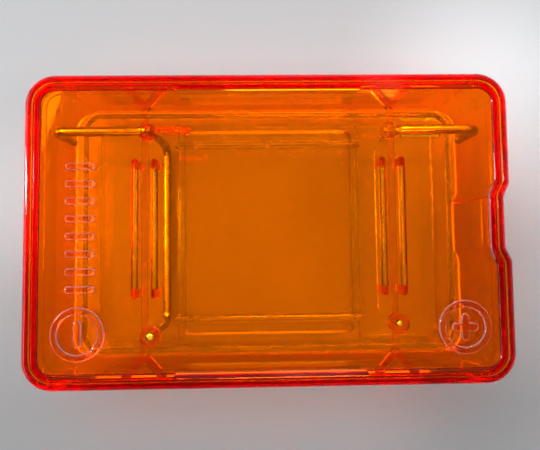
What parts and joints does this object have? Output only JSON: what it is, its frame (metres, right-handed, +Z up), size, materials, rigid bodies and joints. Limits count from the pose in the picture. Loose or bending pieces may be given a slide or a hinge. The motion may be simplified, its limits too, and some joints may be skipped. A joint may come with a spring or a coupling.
{
  "type": "gel electrophoresis tank",
  "caption": "Shallow clear tank with a lift-out gel tray, under a transparent orange box-shaped cover that carries bent electrodes and has a notch in one end wall.",
  "frame": {"origin": "centre of the footprint, on the surface that the tank stands on", "axes": "+X along the length, towards the anode end with the notch; +Y towards the side with the contact legs; +Z up"},
  "size_m": [0.148, 0.095, 0.032],
  "materials": {
    "orange_plastic": "transparent, polished",
    "electrode_steel": "drawn bright",
    "platinum": "bright",
    "adhesive": "clear, glossy",
    "clear_plastic": "transparent, polished",
    "tray_plastic": "transparent, polished"
  },
  "bodies": {
    "tank": {"buffer_tank": "clear_plastic"},
    "cover": {"cover_shell": "orange_plastic", "cathode_rod": "electrode_steel", "anode_rod": "electrode_steel", "anode_wire": "platinum", "wire_crimp": "platinum", "anchor_pin": "electrode_steel", "cathode_bond": "adhesive", "anode_bond": "adhesive"},
    "tray": {"gel_tray": "tray_plastic"}
  },
  "joints": [
    {"name": "cover_lift", "type": "slide", "parent": "tank", "child": "cover", "axis": [0, 0, 1], "range_m": [0, 0.045]},
    {"name": "tray_lift", "type": "slide", "parent": "tank", "child": "tray", "axis": [0, 0, 1], "range_m": [0, 0.01]}
  ]
}
